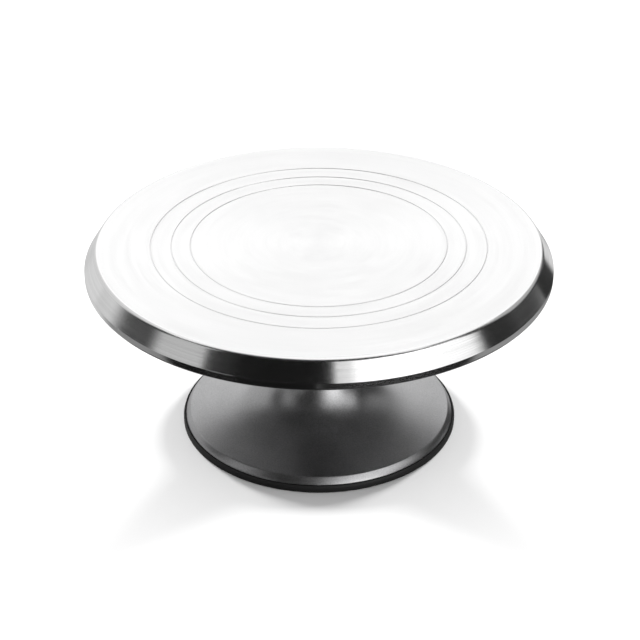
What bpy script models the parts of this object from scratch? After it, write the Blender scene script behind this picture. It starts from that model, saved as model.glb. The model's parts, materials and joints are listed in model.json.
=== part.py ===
"""Cake turntable: a bevelled aluminium plate that spins freely on a trumpet-shaped pedestal.

The plate is bolted to a flanged spindle. The spindle runs in two deep-groove ball bearings inside the
pedestal's column, and a lock nut under the lower bearing holds the stack together. A rubber ring round
the pedestal's rim stands on the table. Metres, +Z up; the origin is under the axis, on the table.
"""

import math

import bmesh
import bpy
from mathutils import Matrix, Vector

# ---------------------------------------------------------------- driving dimensions
GAP = 0.0003                    # space left between neighbouring pieces
EDGE_BREAK = 0.0003             # small chamfer on turned edges
DRAFT = 0.0004                  # taper of a cast wall
OVERLAP = 0.001                 # how far a cutter or a joined piece runs past a face

HEIGHT = 0.134                  # table to top face
PLATE_RADIUS = 0.1525           # a 12 inch plate
FACE_RADIUS = 0.1449            # flat top face
BEVEL_HEIGHT = 0.012            # sloping turned rim
RIM_HEIGHT = 0.0175             # whole depth of the plate's edge
RIM_ROUND = 0.0023              # lower outer edge
PLATE_THICKNESS = 0.0035
SKIRT_INNER_RADIUS = 0.1473
SKIRT_HEIGHT = 0.0045
UNDERSIDE_RADIUS = 0.1416
RING_RADII = (0.0835, 0.0959, 0.1094)   # centring rings cut in the top face
RING_WALLS = (0.0006, 0.0003)   # widths of a ring's inner and outer walls
RING_DEPTH = 0.0004
PLATE_RIBS = 8
RIB_WIDTH = 0.003
RIB_DROP = 0.005
STIFFENER_RADIUS = 0.0935       # circular rib under the plate
STIFFENER_DROP = 0.0045
STIFFENER_WIDTH = 0.0024
HUB_RADIUS = 0.034
HUB_FILLET = 0.003
HUB_DEPTH = 0.009               # hub below the underside of the plate

FLANGE_RADIUS = 0.032
FLANGE_THICKNESS = 0.005
SPIGOT_RADIUS = 0.012
SPIGOT_HEIGHT = 0.0033
SHOULDER_RADIUS = 0.013
SPINDLE_RADIUS = 0.0097
THREAD_RADIUS = 0.0087
SPINDLE_END = 0.0185
SCREW_CIRCLE = 0.024
SCREW_COUNT = 4
SCREW_RADIUS = 0.0023
SCREW_HEAD_RADIUS = 0.0043
SCREW_HEAD_HEIGHT = 0.0032
SCREW_LENGTH = 0.0126
SOCKET_RADIUS = 0.0023
SOCKET_DEPTH = 0.0018
SPACER_RADIUS = 0.0128
LOCK_WASHER_RADIUS = 0.0145
LOCK_WASHER_THICKNESS = 0.0018
NUT_ACROSS_FLATS = 0.027
NUT_HEIGHT = 0.010

BEARING_BORE = 0.010
BEARING_RADIUS = 0.021
BEARING_WIDTH = 0.012
BEARING_CENTRES = {"lower": 0.040, "upper": 0.100}
BALL_RADIUS = 0.003175
BALL_COUNT = 9
PITCH_RADIUS = 0.0155
INNER_LAND_RADIUS = 0.0132
OUTER_LAND_RADIUS = 0.0179
SHIELD_SEAT_RADIUS = 0.0186
SHIELD_SEAT_HALF = 0.0046
SHIELD_THICKNESS = 0.0005
SHIELD_OFFSET = 0.0050
SHIELD_CLEARANCE = 0.0004
CAGE_RADII = (0.0143, 0.0167)
CAGE_HALF_WIDTH = 0.0041
POCKET_RADIUS = BALL_RADIUS + 0.00035
WAVE_WASHER_RADII = (0.0189, 0.0209)
WAVE_WASHER_THICKNESS = 0.0006
WAVE_WASHER_LIFT = 0.0004
WAVE_WASHER_ROOM = 0.0019

COLUMN_TOP = 0.110
COLUMN_RADIUS = 0.0250
FLARE_AXIS = 0.0155             # the flare is a hyperbola that nears this radius
FLARE_SCALE = 0.000557
PEDESTAL_RADIUS = 0.0908
FLARE_END_RADIUS = 0.0871
FLARE_END_HEIGHT = 0.0100
TURN_RADIUS = 0.0012            # the flare turns down over this radius
TURN_END = 42                   # until its outward normal rises this many degrees,
BAND_RADIUS = 0.0172            # then a gently rounded band runs down to the upright rim
BAND_END = 25
WALL = 0.0035
PEDESTAL_RIM_WIDTH = 0.0042
BORE_RADIUS = BEARING_RADIUS + GAP
STEP_RADIUS = 0.0185
BOSS_RADIUS = 0.0285
BOSS_BOTTOM = 0.012
HOLLOW_ROOF = 0.0175

FOOT_RADIUS = 0.0924
FOOT_INNER_RADIUS = 0.0832
FOOT_HEIGHT = 0.0056
FOOT_FLOOR = 0.0020
SEAL_LIP = 0.0010
CAP_RADIUS = 0.0252
CAP_FLANGE = 0.0022
CAP_PLUG = 0.0042

LARGE_STEPS = 64                # facets round the plate
MEDIUM_STEPS = 48               # facets round the pedestal and the foot ring
SMALL_STEPS = 24                # facets round bearings and the spindle
SCREW_STEPS = 12

# heights that follow from the ones above
PLATE_UNDERSIDE = HEIGHT - PLATE_THICKNESS
HUB_BOTTOM = PLATE_UNDERSIDE - HUB_DEPTH
FLANGE_TOP = HUB_BOTTOM - GAP
FLANGE_BOTTOM = FLANGE_TOP - FLANGE_THICKNESS
UPPER_TOP = BEARING_CENTRES["upper"] + BEARING_WIDTH / 2
UPPER_BOTTOM = UPPER_TOP - BEARING_WIDTH
LOWER_TOP = BEARING_CENTRES["lower"] + BEARING_WIDTH / 2
LOWER_BOTTOM = LOWER_TOP - BEARING_WIDTH


# ---------------------------------------------------------------- helpers
def collection(name):
    made = bpy.data.collections.new(name)
    bpy.context.scene.collection.children.link(made)
    return made


def material(name, colour, roughness, metallic):
    made = bpy.data.materials.new(name)
    made.use_nodes = True
    shader = made.node_tree.nodes["Principled BSDF"]
    shader.inputs["Base Color"].default_value = (*colour, 1)
    shader.inputs["Roughness"].default_value = roughness
    shader.inputs["Metallic"].default_value = metallic
    made.diffuse_color = (*colour, 1)
    return made


def add_object(name, mesh, finish=None, parent=None):
    """Links a mesh as a named piece in its finish; a cutter has no finish and stays hidden."""
    piece = bpy.data.objects.new(name, mesh)
    if finish is None:
        cutters.objects.link(piece)
        piece.hide_render = True
        piece.display_type = "WIRE"
        return piece
    pieces.objects.link(piece)
    if not mesh.materials:
        mesh.materials.append(finish)
    piece.parent = parent
    return piece


def arc(centre, radius, start, end, steps):
    """Points on a circle in the (radius, height) plane, angles in degrees."""
    points = []
    for i in range(steps + 1):
        angle = math.radians(start + (end - start) * i / steps)
        points.append((centre[0] + radius * math.cos(angle), centre[1] + radius * math.sin(angle)))
    return points


def turned(name, profile, steps, finish=None, parent=None, closed=False):
    """A turned piece: a profile of (radius, height) points, run down its outer side, and a Screw."""
    mesh = bpy.data.meshes.new(name)
    edges = [(i, i + 1) for i in range(len(profile) - 1)]
    if closed:
        edges.append((len(profile) - 1, 0))
    mesh.from_pydata([(radius, 0, height) for radius, height in profile], edges, [])
    piece = add_object(name, mesh, finish, parent)
    screw = piece.modifiers.new("Screw", "SCREW")
    screw.axis = "Z"
    screw.angle = math.tau
    screw.steps = steps
    screw.render_steps = steps
    screw.use_merge_vertices = True
    screw.merge_threshold = 0.00001
    screw.use_smooth_shade = True
    return piece


def cylinder_mesh(name, radius, length, sides, move=Vector(), turn=Matrix()):
    """A closed cylinder along Z, centred on the origin, then turned and moved."""
    mesh = bpy.data.meshes.new(name)
    shape = bmesh.new()
    bmesh.ops.create_cone(shape, cap_ends=True, segments=sides, radius1=radius, radius2=radius,
                          depth=length, matrix=Matrix.Translation(move) @ turn.to_4x4())
    shape.to_mesh(mesh)
    shape.free()
    return mesh


def box_mesh(name, size, move, spin):
    """A box of the given size, moved, then spun about the Z axis."""
    mesh = bpy.data.meshes.new(name)
    shape = bmesh.new()
    place = Matrix.Rotation(spin, 4, "Z") @ Matrix.Translation(move) @ Matrix.Diagonal((*size, 1))
    bmesh.ops.create_cube(shape, size=1, matrix=place)
    shape.to_mesh(mesh)
    shape.free()
    return mesh


def boolean(piece, other, operation):
    modifier = piece.modifiers.new(operation.title(), "BOOLEAN")
    modifier.operation = operation
    modifier.solver = "EXACT"
    modifier.object = other


def around(count, start=0.0):
    """Equal angles round a full turn."""
    return [start + math.tau * i / count for i in range(count)]


def axis_empty(name, height):
    """The point on the turntable's axis that a moving group turns about."""
    empty = bpy.data.objects.new(name, None)
    empty.location = (0, 0, height)
    empty.empty_display_size = 0.01
    pieces.objects.link(empty)
    return empty


# ---------------------------------------------------------------- the turning group
def turntable_plate(parent):
    """Cast plate with a turned face and rim, centring rings, a skirt, a hub and stiffening ribs."""
    rim_bottom = HEIGHT - RIM_HEIGHT
    profile = [(0, HEIGHT)]
    for ring in RING_RADII:
        profile += [(ring - RING_WALLS[0], HEIGHT), (ring, HEIGHT - RING_DEPTH),
                    (ring + RING_WALLS[1], HEIGHT)]
    profile += [(FACE_RADIUS, HEIGHT), (FACE_RADIUS + EDGE_BREAK, HEIGHT - EDGE_BREAK)]
    profile += [(PLATE_RADIUS, HEIGHT - BEVEL_HEIGHT)]
    profile += arc((PLATE_RADIUS - RIM_ROUND, rim_bottom + RIM_ROUND), RIM_ROUND, 0, -90, 3)
    profile += [(SKIRT_INNER_RADIUS, rim_bottom), (SKIRT_INNER_RADIUS - DRAFT, rim_bottom + SKIRT_HEIGHT),
                (UNDERSIDE_RADIUS, PLATE_UNDERSIDE)]
    half = STIFFENER_WIDTH / 2
    stiffener_bottom = PLATE_UNDERSIDE - STIFFENER_DROP
    profile += [(STIFFENER_RADIUS + half + DRAFT, PLATE_UNDERSIDE),
                (STIFFENER_RADIUS + half, stiffener_bottom), (STIFFENER_RADIUS - half, stiffener_bottom),
                (STIFFENER_RADIUS - half - DRAFT, PLATE_UNDERSIDE)]
    profile += [(HUB_RADIUS + HUB_FILLET, PLATE_UNDERSIDE), (HUB_RADIUS, PLATE_UNDERSIDE - HUB_FILLET),
                (HUB_RADIUS - DRAFT, HUB_BOTTOM)]
    recess = SPIGOT_RADIUS + GAP
    recess_top = FLANGE_TOP + SPIGOT_HEIGHT + GAP
    profile += [(recess, HUB_BOTTOM), (recess, recess_top), (0, recess_top)]
    plate = turned("turntable_plate", profile, LARGE_STEPS, aluminium, parent)

    rib_inner = HUB_RADIUS - 2 * OVERLAP
    rib_outer = UNDERSIDE_RADIUS + HUB_FILLET
    rib_height = RIB_DROP + OVERLAP
    ribs = bmesh.new()
    for angle in around(PLATE_RIBS, math.pi / PLATE_RIBS):
        centre = Vector(((rib_inner + rib_outer) / 2, 0, PLATE_UNDERSIDE + OVERLAP - rib_height / 2))
        size = (rib_outer - rib_inner, RIB_WIDTH, rib_height)
        ribs.from_mesh(box_mesh("rib", size, centre, angle))
    rib_mesh = bpy.data.meshes.new("plate_ribs")
    ribs.to_mesh(rib_mesh)
    ribs.free()
    boolean(plate, add_object("plate_ribs", rib_mesh), "UNION")
    hole_top = FLANGE_BOTTOM - GAP + SCREW_LENGTH + 2 * GAP
    boolean(plate, screw_hole_cutter("plate_screw_holes", HUB_BOTTOM - OVERLAP, hole_top), "DIFFERENCE")
    return plate


def screw_hole_cutter(name, bottom, top):
    """Cylinders on the screw circle, a little wider than the screws."""
    holes = bmesh.new()
    for angle in around(SCREW_COUNT, math.pi / 4):
        centre = Vector((SCREW_CIRCLE * math.cos(angle), SCREW_CIRCLE * math.sin(angle),
                         (bottom + top) / 2))
        holes.from_mesh(cylinder_mesh("hole", SCREW_RADIUS + GAP, top - bottom, SCREW_STEPS, centre))
    mesh = bpy.data.meshes.new(name)
    holes.to_mesh(mesh)
    holes.free()
    return add_object(name, mesh)


def spindle(parent):
    """Steel spindle: centring spigot, bolted flange, bearing shoulder, shaft and threaded end."""
    chamfer = 0.0006
    spigot_top = FLANGE_TOP + SPIGOT_HEIGHT
    shaft_end = LOWER_BOTTOM + GAP
    profile = [(0, spigot_top), (SPIGOT_RADIUS - chamfer, spigot_top),
               (SPIGOT_RADIUS, spigot_top - chamfer), (SPIGOT_RADIUS, FLANGE_TOP),
               (FLANGE_RADIUS - chamfer, FLANGE_TOP), (FLANGE_RADIUS, FLANGE_TOP - chamfer),
               (FLANGE_RADIUS, FLANGE_BOTTOM + chamfer), (FLANGE_RADIUS - chamfer, FLANGE_BOTTOM),
               (SHOULDER_RADIUS, FLANGE_BOTTOM), (SHOULDER_RADIUS, UPPER_TOP + GAP),
               (SPINDLE_RADIUS, UPPER_TOP + GAP), (SPINDLE_RADIUS, shaft_end),
               (THREAD_RADIUS, shaft_end), (THREAD_RADIUS, SPINDLE_END + chamfer),
               (THREAD_RADIUS - chamfer, SPINDLE_END), (0, SPINDLE_END)]
    piece = turned("spindle", profile, SMALL_STEPS, steel, parent)
    holes = screw_hole_cutter("flange_holes", FLANGE_BOTTOM - OVERLAP, FLANGE_TOP + OVERLAP)
    boolean(piece, holes, "DIFFERENCE")
    return piece


def flange_screws(parent):
    """Socket-head screws that come up through the spindle's flange into the plate's hub."""
    head_top = FLANGE_BOTTOM - GAP
    head_bottom = head_top - SCREW_HEAD_HEIGHT
    screw_end = head_top + SCREW_LENGTH
    chamfer = 0.0005
    profile = [(0, screw_end), (SCREW_RADIUS - chamfer, screw_end), (SCREW_RADIUS, screw_end - chamfer),
               (SCREW_RADIUS, head_top), (SCREW_HEAD_RADIUS, head_top),
               (SCREW_HEAD_RADIUS, head_bottom + chamfer), (SCREW_HEAD_RADIUS - chamfer, head_bottom),
               (0, head_bottom)]
    socket_centre = Vector((0, 0, head_bottom + (SOCKET_DEPTH - OVERLAP) / 2))
    for number, angle in enumerate(around(SCREW_COUNT, math.pi / 4), 1):
        place = (SCREW_CIRCLE * math.cos(angle), SCREW_CIRCLE * math.sin(angle), 0)
        socket = add_object(f"screw_socket_{number}",
                            cylinder_mesh("socket", SOCKET_RADIUS, SOCKET_DEPTH + OVERLAP, 6, socket_centre))
        screw = turned(f"flange_screw_{number}", profile, SCREW_STEPS, zinc, parent)
        socket.location = place
        screw.location = place
        boolean(screw, socket, "DIFFERENCE")


def bearing_spacer(parent):
    """Tube that holds the two inner rings apart."""
    top = UPPER_BOTTOM - GAP
    bottom = LOWER_TOP + GAP
    profile = [(BEARING_BORE, top), (SPACER_RADIUS, top), (SPACER_RADIUS, bottom), (BEARING_BORE, bottom)]
    return turned("bearing_spacer", profile, SMALL_STEPS, steel, parent, closed=True)


def lock_washer(parent):
    inner = THREAD_RADIUS + GAP
    top = LOWER_BOTTOM - GAP
    bottom = top - LOCK_WASHER_THICKNESS
    profile = [(inner, top), (LOCK_WASHER_RADIUS - EDGE_BREAK, top), (LOCK_WASHER_RADIUS, top - EDGE_BREAK),
               (LOCK_WASHER_RADIUS, bottom), (inner, bottom)]
    return turned("lock_washer", profile, SMALL_STEPS, zinc, parent, closed=True)


def lock_nut(parent):
    """Hexagon nut on the spindle's thread."""
    top = LOWER_BOTTOM - GAP - LOCK_WASHER_THICKNESS - GAP
    corner_radius = NUT_ACROSS_FLATS / 2 / math.cos(math.pi / 6)
    centre = Vector((0, 0, top - NUT_HEIGHT / 2))
    hexagon = cylinder_mesh("lock_nut", corner_radius, NUT_HEIGHT, 6, centre)
    nut = add_object("lock_nut", hexagon, zinc, parent)
    bore = cylinder_mesh("nut_bore", THREAD_RADIUS + GAP, NUT_HEIGHT + 2 * OVERLAP, SMALL_STEPS, centre)
    boolean(nut, add_object("nut_bore", bore), "DIFFERENCE")
    return nut


# ---------------------------------------------------------------- ball bearings
def outer_ring(prefix, height):
    """Outer ring with its raceway and a seat for a shield at each end."""
    groove = BALL_RADIUS + GAP
    half = BEARING_WIDTH / 2
    reach = math.degrees(math.acos((OUTER_LAND_RADIUS - PITCH_RADIUS) / groove))
    profile = [(SHIELD_SEAT_RADIUS, height + half), (BEARING_RADIUS, height + half),
               (BEARING_RADIUS, height - half), (SHIELD_SEAT_RADIUS, height - half),
               (SHIELD_SEAT_RADIUS, height - SHIELD_SEAT_HALF),
               (OUTER_LAND_RADIUS, height - SHIELD_SEAT_HALF)]
    profile += arc((PITCH_RADIUS, height), groove, -reach, reach, 4)
    profile += [(OUTER_LAND_RADIUS, height + SHIELD_SEAT_HALF),
                (SHIELD_SEAT_RADIUS, height + SHIELD_SEAT_HALF)]
    return turned(f"{prefix}_bearing_outer_ring", profile, SMALL_STEPS, bearing_steel, closed=True)


def inner_ring(prefix, height, parent):
    """Inner ring with its raceway."""
    groove = BALL_RADIUS + GAP
    half = BEARING_WIDTH / 2
    reach = math.degrees(math.acos((PITCH_RADIUS - INNER_LAND_RADIUS) / groove))
    profile = [(BEARING_BORE, height + half), (INNER_LAND_RADIUS, height + half)]
    profile += arc((PITCH_RADIUS, height), groove, 180 - reach, 180 + reach, 4)
    profile += [(INNER_LAND_RADIUS, height - half), (BEARING_BORE, height - half)]
    return turned(f"{prefix}_bearing_inner_ring", profile, SMALL_STEPS, bearing_steel, parent, closed=True)


def shield(name, height):
    """Thin steel ring that closes one face of a bearing."""
    half = SHIELD_THICKNESS / 2
    inner = INNER_LAND_RADIUS + SHIELD_CLEARANCE
    outer = SHIELD_SEAT_RADIUS - GAP
    profile = [(inner, height + half), (outer, height + half), (outer, height - half), (inner, height - half)]
    return turned(name, profile, SMALL_STEPS, steel, closed=True)


def cage_and_balls(prefix, parent):
    """Cage with a round pocket for each ball, and the balls; the parent empty is at their centre."""
    inner, outer = CAGE_RADII
    profile = [(inner, CAGE_HALF_WIDTH), (outer, CAGE_HALF_WIDTH),
               (outer, -CAGE_HALF_WIDTH), (inner, -CAGE_HALF_WIDTH)]
    cage = turned(f"{prefix}_bearing_cage", profile, 3 * BALL_COUNT, brass, parent, closed=True)
    pockets = bmesh.new()
    pocket_length = 2 * (outer - inner)
    for angle in around(BALL_COUNT):
        turn = Matrix.Rotation(angle, 3, "Z") @ Matrix.Rotation(math.pi / 2, 3, "Y")
        centre = Vector((PITCH_RADIUS * math.cos(angle), PITCH_RADIUS * math.sin(angle), 0))
        pockets.from_mesh(cylinder_mesh("pocket", POCKET_RADIUS, pocket_length, 10, centre, turn))
    pocket_mesh = bpy.data.meshes.new("cage_pockets")
    pockets.to_mesh(pocket_mesh)
    pockets.free()
    cutter = add_object(f"{prefix}_cage_pockets", pocket_mesh)
    cutter.location = parent.location
    boolean(cage, cutter, "DIFFERENCE")

    ball_mesh = bpy.data.meshes.new("ball")
    ball = bmesh.new()
    bmesh.ops.create_uvsphere(ball, u_segments=8, v_segments=6, radius=BALL_RADIUS)
    ball.to_mesh(ball_mesh)
    ball.free()
    ball_mesh.shade_smooth()
    ball_mesh.materials.append(bearing_steel)
    for number, angle in enumerate(around(BALL_COUNT), 1):
        piece = add_object(f"{prefix}_bearing_ball_{number}", ball_mesh, bearing_steel, parent)
        piece.location = (PITCH_RADIUS * math.cos(angle), PITCH_RADIUS * math.sin(angle), 0)


def wave_washer():
    """Sprung washer with three waves; it keeps the lower bearing free of play."""
    waves = 3
    inner, outer = WAVE_WASHER_RADII
    half = WAVE_WASHER_THICKNESS / 2
    centre = LOWER_TOP + WAVE_WASHER_ROOM / 2
    section = [(inner, -half), (inner, half), (outer, half), (outer, -half)]
    shape = bmesh.new()
    corners = [shape.verts.new((radius, 0, centre + height)) for radius, height in section]
    edges = [shape.edges.new((corners[i - 1], corners[i])) for i in range(len(corners))]
    bmesh.ops.spin(shape, geom=corners + edges, axis=(0, 0, 1), cent=(0, 0, 0), angle=math.tau,
                   steps=36, use_merge=True)
    bmesh.ops.recalc_face_normals(shape, faces=shape.faces)
    for vertex in shape.verts:
        vertex.co.z += WAVE_WASHER_LIFT * math.sin(waves * math.atan2(vertex.co.y, vertex.co.x))
    mesh = bpy.data.meshes.new("wave_washer")
    shape.to_mesh(mesh)
    shape.free()
    return add_object("wave_washer", mesh, steel)


# ---------------------------------------------------------------- the standing group
def flare_height(radius):
    """Height of the pedestal's outer surface at a radius: a hyperbola that climbs inward from the rim."""
    end = FLARE_SCALE / (FLARE_END_RADIUS - FLARE_AXIS)
    return FLARE_END_HEIGHT + FLARE_SCALE / (radius - FLARE_AXIS) - end


def inside_flare(radius):
    """The point one wall thickness inside the outer surface."""
    slope = -FLARE_SCALE / (radius - FLARE_AXIS) ** 2
    length = math.hypot(1, slope)
    return (radius + WALL * slope / length, flare_height(radius) - WALL / length)


def pedestal():
    """Trumpet-shaped casting: column, flare and banded rim outside, stepped bore and hollow inside."""
    edge_round = 0.0015
    profile = [(BORE_RADIUS, COLUMN_TOP)]
    profile += arc((COLUMN_RADIUS - edge_round, COLUMN_TOP - edge_round), edge_round, 90, 0, 2)
    flare_points = 12
    for i in range(flare_points + 1):
        radius = COLUMN_RADIUS + (FLARE_END_RADIUS - COLUMN_RADIUS) * (i / flare_points) ** 2
        profile.append((radius, flare_height(radius)))
    turn_centre = (FLARE_END_RADIUS, FLARE_END_HEIGHT - TURN_RADIUS)
    inward = TURN_RADIUS - BAND_RADIUS
    band_centre = (turn_centre[0] + inward * math.cos(math.radians(TURN_END)),
                   turn_centre[1] + inward * math.sin(math.radians(TURN_END)))
    profile += arc(turn_centre, TURN_RADIUS, 62, TURN_END, 1)
    profile += arc(band_centre, BAND_RADIUS, TURN_END, BAND_END, 2)[1:]
    rim_bottom = FOOT_FLOOR + GAP
    profile += [(PEDESTAL_RADIUS, rim_bottom), (PEDESTAL_RADIUS - PEDESTAL_RIM_WIDTH, rim_bottom)]
    hollow_radii = (0.0835, 0.068, 0.056, 0.048, 0.0435)
    profile += [inside_flare(radius) for radius in hollow_radii]
    fillet = 0.003
    profile += [(BOSS_RADIUS + fillet, HOLLOW_ROOF), (BOSS_RADIUS + DRAFT, HOLLOW_ROOF - fillet),
                (BOSS_RADIUS, BOSS_BOTTOM)]
    lower_step = LOWER_TOP + WAVE_WASHER_ROOM
    upper_step = UPPER_BOTTOM - GAP
    profile += [(BORE_RADIUS, BOSS_BOTTOM), (BORE_RADIUS, lower_step), (STEP_RADIUS, lower_step),
                (STEP_RADIUS, upper_step), (BORE_RADIUS, upper_step)]
    return turned("pedestal", profile, MEDIUM_STEPS, painted_grey, closed=True)


def foot_ring():
    """Black rubber ring with an L section, stretched over the pedestal's rim."""
    wall_inner = PEDESTAL_RADIUS + GAP
    shoulder, toe, edge = 0.0006, 0.0010, 0.0004
    profile = [(wall_inner, FOOT_HEIGHT)]
    profile += arc((FOOT_RADIUS - shoulder, FOOT_HEIGHT - shoulder), shoulder, 90, 0, 2)
    profile += arc((FOOT_RADIUS - toe, toe), toe, 0, -90, 2)
    profile += [(FOOT_INNER_RADIUS + edge, 0), (FOOT_INNER_RADIUS, edge),
                (FOOT_INNER_RADIUS, FOOT_FLOOR), (wall_inner, FOOT_FLOOR)]
    return turned("foot_ring", profile, MEDIUM_STEPS, rubber, closed=True)


def neck_seal():
    """Rubber dust seal above the upper bearing, round the spindle's shoulder."""
    top = COLUMN_TOP - GAP
    bottom = UPPER_TOP + GAP
    inner = SHOULDER_RADIUS + GAP
    profile = [(inner, top), (inner + SEAL_LIP, top), (inner + 2 * SEAL_LIP, top - SEAL_LIP),
               (BEARING_RADIUS - 2 * SEAL_LIP, top - SEAL_LIP), (BEARING_RADIUS - SEAL_LIP, top),
               (BEARING_RADIUS, top), (BEARING_RADIUS, bottom), (inner, bottom)]
    return turned("neck_seal", profile, SMALL_STEPS, rubber, closed=True)


def bore_cap():
    """Plastic cap pushed into the bottom of the column's bore."""
    flange_top = BOSS_BOTTOM - GAP
    flange_bottom = flange_top - CAP_FLANGE
    plug_top = flange_top + CAP_PLUG
    wall, chamfer = 0.0018, 0.0006
    floor = flange_bottom + wall
    profile = [(0, floor), (BEARING_RADIUS - wall - DRAFT, floor), (BEARING_RADIUS - wall, plug_top),
               (BEARING_RADIUS, plug_top), (BEARING_RADIUS, flange_top), (CAP_RADIUS, flange_top),
               (CAP_RADIUS, flange_bottom + chamfer), (CAP_RADIUS - chamfer, flange_bottom),
               (0, flange_bottom)]
    return turned("bore_cap", profile, SMALL_STEPS, plastic)


# ---------------------------------------------------------------- assembly
for old in list(bpy.data.objects):
    bpy.data.objects.remove(old, do_unlink=True)

pieces = collection("cake_turntable")
cutters = collection("cutters")

aluminium = material("turned_aluminium", (0.80, 0.80, 0.80), 0.22, 1.0)
painted_grey = material("grey_metallic_paint", (0.16, 0.16, 0.165), 0.38, 0.85)
rubber = material("black_rubber", (0.012, 0.012, 0.012), 0.65, 0.0)
steel = material("machined_steel", (0.55, 0.55, 0.56), 0.30, 1.0)
bearing_steel = material("bearing_steel", (0.62, 0.62, 0.63), 0.15, 1.0)
brass = material("brass", (0.75, 0.52, 0.22), 0.35, 1.0)
zinc = material("zinc_plate", (0.58, 0.59, 0.61), 0.35, 1.0)
plastic = material("black_plastic", (0.03, 0.03, 0.03), 0.45, 0.0)

plate_axis = axis_empty("plate_axis", 0)
turntable_plate(plate_axis)
spindle(plate_axis)
flange_screws(plate_axis)
bearing_spacer(plate_axis)
lock_washer(plate_axis)
lock_nut(plate_axis)

for prefix, height in BEARING_CENTRES.items():
    outer_ring(prefix, height)
    inner_ring(prefix, height, plate_axis)
    shield(f"{prefix}_bearing_top_shield", height + SHIELD_OFFSET)
    shield(f"{prefix}_bearing_bottom_shield", height - SHIELD_OFFSET)
    cage_and_balls(prefix, axis_empty(f"{prefix}_cage_axis", height))

wave_washer()
pedestal()
foot_ring()
neck_seal()
bore_cap()
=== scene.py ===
"""Looks of the cake turntable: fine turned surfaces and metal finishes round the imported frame.

Each piece is a closed mesh, turned from a profile of (radius, height) corners about the Z axis, that takes
the place of one CAD node. Metres, +Z up; the camera's side is -Y.
"""
import json
import math

import bmesh
import bpy
from mathutils import Matrix, Vector


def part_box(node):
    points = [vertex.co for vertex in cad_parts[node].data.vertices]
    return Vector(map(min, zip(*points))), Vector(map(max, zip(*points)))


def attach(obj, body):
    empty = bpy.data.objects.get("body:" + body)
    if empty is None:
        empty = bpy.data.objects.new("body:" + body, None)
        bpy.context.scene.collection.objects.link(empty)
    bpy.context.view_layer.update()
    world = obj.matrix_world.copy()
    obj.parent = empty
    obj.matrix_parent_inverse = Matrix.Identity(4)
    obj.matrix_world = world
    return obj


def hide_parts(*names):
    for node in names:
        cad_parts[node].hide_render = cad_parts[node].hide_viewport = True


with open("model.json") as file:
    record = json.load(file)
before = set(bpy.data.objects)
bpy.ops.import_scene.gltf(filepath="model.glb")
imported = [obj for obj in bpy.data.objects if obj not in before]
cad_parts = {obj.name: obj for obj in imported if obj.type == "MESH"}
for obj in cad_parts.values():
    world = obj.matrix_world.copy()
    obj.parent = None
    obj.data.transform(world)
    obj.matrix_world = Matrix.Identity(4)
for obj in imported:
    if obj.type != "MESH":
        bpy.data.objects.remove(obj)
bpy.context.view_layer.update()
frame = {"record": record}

RECORD = frame["record"]
BODY_OF = {node: body for body, nodes in RECORD["behaviour"]["bodies"].items() for node in nodes}

LARGE_STEPS = 320               # facets round the plate and the pedestal
MEDIUM_STEPS = 128
NUT_STEPS = 96
SCREW_STEPS = 48
HOLE_STEPS = 32
FILLET_STEP = 15                # degrees of a fillet for each of its facets
SHARP_ANGLE = math.radians(38)
FLAT_FACE_WEIGHT = 100          # how strongly large faces hold the normals at their edges
ON_AXIS = 1e-7                  # a profile point nearer the axis than this closes the surface

GAP = 0.0003                    # clearance between neighbouring pieces
OVERLAP = 0.001                 # how far a cutter runs past a face
THREAD_PITCH = 0.0015           # of the spindle and its nut
THREAD_SPACING = 0.00019        # height of a facet on that thread


# ---------------------------------------------------------------- places read from the frame
def low(node):
    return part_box(node)[0]


def high(node):
    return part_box(node)[1]


PLATE_RADIUS = high("turntable_plate").x
PLATE_TOP = high("turntable_plate").z
RIM_BOTTOM = low("turntable_plate").z
PEDESTAL_RADIUS = high("pedestal").x
COLUMN_TOP = high("pedestal").z
PEDESTAL_BOTTOM = low("pedestal").z


# ---------------------------------------------------------------- mesh helpers
def filleted(corners, closed=False):
    """Profile points from (radius, height, fillet) corners; a corner with a fillet becomes an arc."""
    points = []
    last = len(corners) - 1
    for i, (radius, height, fillet) in enumerate(corners):
        corner = Vector((radius, height))
        if not fillet or (not closed and i in (0, last)):
            points.append((radius, height))
            continue
        back = (Vector(corners[i - 1][:2]) - corner).normalized()
        ahead = (Vector(corners[(i + 1) % len(corners)][:2]) - corner).normalized()
        half = back.angle(ahead) / 2
        centre = corner + (back + ahead).normalized() * fillet / math.sin(half)
        start = corner + back * fillet / math.tan(half) - centre
        end = corner + ahead * fillet / math.tan(half) - centre
        first = math.atan2(start.y, start.x)
        sweep = math.remainder(math.atan2(end.y, end.x) - first, math.tau)
        count = max(2, math.ceil(abs(math.degrees(sweep)) / FILLET_STEP))
        for k in range(count + 1):
            angle = first + sweep * k / count
            points.append((centre.x + fillet * math.cos(angle), centre.y + fillet * math.sin(angle)))
    return points


def arc(centre, radius, start, end, count):
    """Points on a circle in the (radius, height) plane, angles in degrees."""
    angles = [math.radians(start + (end - start) * k / count) for k in range(count + 1)]
    return [(centre[0] + radius * math.cos(a), centre[1] + radius * math.sin(a)) for a in angles]


def revolved(profile, steps, closed=False):
    """A turned bmesh from a profile of (radius, height) points that runs down its outer side."""
    shape = bmesh.new()
    directions = [(math.cos(math.tau * i / steps), math.sin(math.tau * i / steps)) for i in range(steps)]
    rings = []
    for radius, height in profile:
        if radius < ON_AXIS:
            rings.append([shape.verts.new((0, 0, height))])
        else:
            rings.append([shape.verts.new((radius * c, radius * s, height)) for c, s in directions])
    below = rings[1:] + rings[:1] if closed else rings[1:]
    for upper, lower in zip(rings, below):
        for i in range(steps):
            j = (i + 1) % steps
            corners = [upper[i % len(upper)], lower[i % len(lower)], lower[j % len(lower)],
                       upper[j % len(upper)]]
            shape.faces.new(dict.fromkeys(corners))
    return shape


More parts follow.
